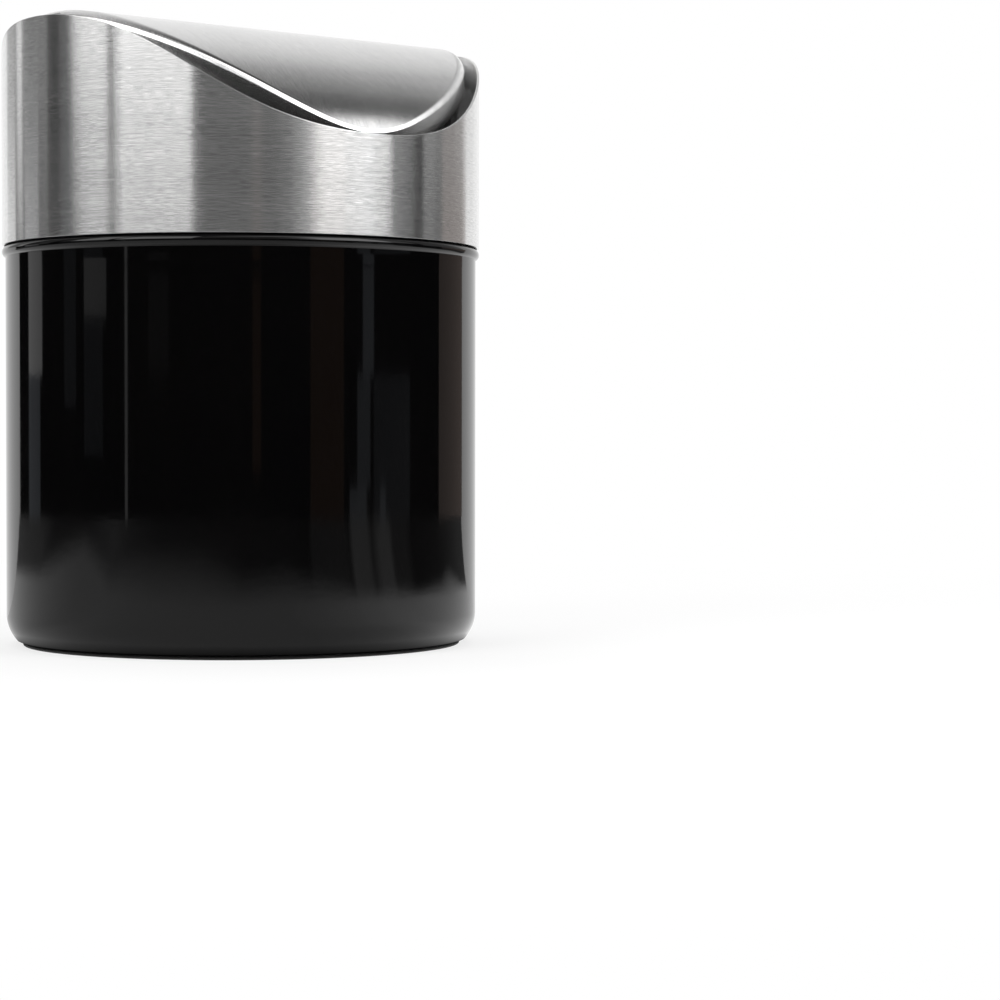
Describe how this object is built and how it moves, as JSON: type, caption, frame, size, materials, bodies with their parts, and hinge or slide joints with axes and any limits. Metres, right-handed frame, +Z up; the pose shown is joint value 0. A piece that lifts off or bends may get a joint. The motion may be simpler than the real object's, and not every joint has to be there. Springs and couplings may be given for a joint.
{
  "type": "countertop trash can with swing lid",
  "caption": "Small round countertop waste bin: a black can with a lift-off brushed steel collar lid whose arched flap swings both ways on pivot pins.",
  "frame": {"origin": "on the standing surface, under the middle of the can", "axes": "+Z up; the flap turns about an axis along X, so the rim's peaks are at +X and -X and its dips, where the flap is pushed, are at -Y (front) and +Y"},
  "size_m": [0.125, 0.125, 0.161],
  "materials": {
    "black_paint": "gloss black, baked enamel",
    "pad_rubber": "matt",
    "collar_steel": "brushed round the collar",
    "black_plastic": "satin",
    "bracket_steel": "plain mill finish",
    "rivet_metal": "plain",
    "bush_plastic": "natural white",
    "flap_steel": "brushed across the arch",
    "pin_steel": "turned"
  },
  "bodies": {
    "can": {"can_shell": "black_paint", "base_pad": "pad_rubber"},
    "lid": {"lid_collar": "collar_steel", "neck_ring": "black_plastic", "bracket_left": "bracket_steel", "bracket_right": "bracket_steel", "bracket_rivets": "rivet_metal", "bush_left": "bush_plastic", "bush_right": "bush_plastic"},
    "flap": {"flap_panel": "flap_steel", "hinge_plate_left": "bracket_steel", "hinge_plate_right": "bracket_steel", "pin_left": "pin_steel", "pin_right": "pin_steel"}
  },
  "joints": [
    {"name": "lid_lift", "type": "slide", "parent": "can", "child": "lid", "axis": [0, 0, 1], "range_m": [0, 0.06]},
    {"name": "flap_swing", "type": "hinge", "parent": "lid", "child": "flap", "pos_m": [0, 0, 0.15405], "axis": [1, 0, 0], "range_deg": [-80, 80]}
  ]
}
